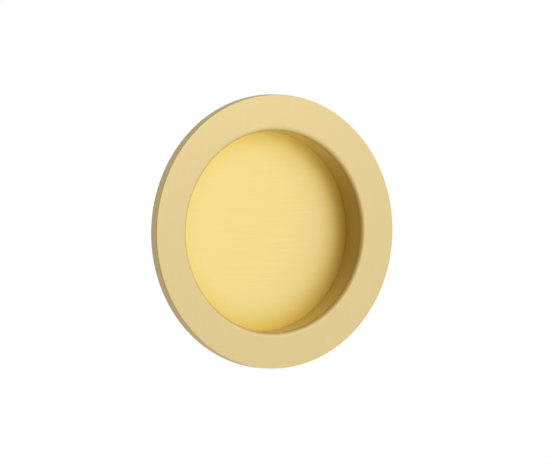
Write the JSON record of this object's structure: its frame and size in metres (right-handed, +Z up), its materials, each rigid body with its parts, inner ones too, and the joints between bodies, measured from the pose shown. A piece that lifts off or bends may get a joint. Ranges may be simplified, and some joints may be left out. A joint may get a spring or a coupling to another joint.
{
  "type": "pocket door pull",
  "caption": "Round flush pull for a pocket door: a flat flange around a shallow finger cup, let into a bored hole and held by hidden screws under a brushed cover disc.",
  "frame": {"origin": "on the cup's axis, in the plane of the flange's back face, which is the door's surface", "axes": "+Y along the cup's axis into the door, so the face looks along -Y; +Z up as the pull sits in an upright door, along the line of the screws; +X to the right of someone facing the pull"},
  "size_m": [0.08, 0.02, 0.08],
  "materials": {
    "satin_brass": "fine upright satin grain on the flange, turned wall",
    "brushed_brass": "level brushed grain",
    "plated_screw_steel": "bright zinc plate"
  },
  "bodies": {
    "root": {"pull_body": "satin_brass", "floor_disc": "brushed_brass", "fixing_screws": "plated_screw_steel"}
  },
  "joints": []
}
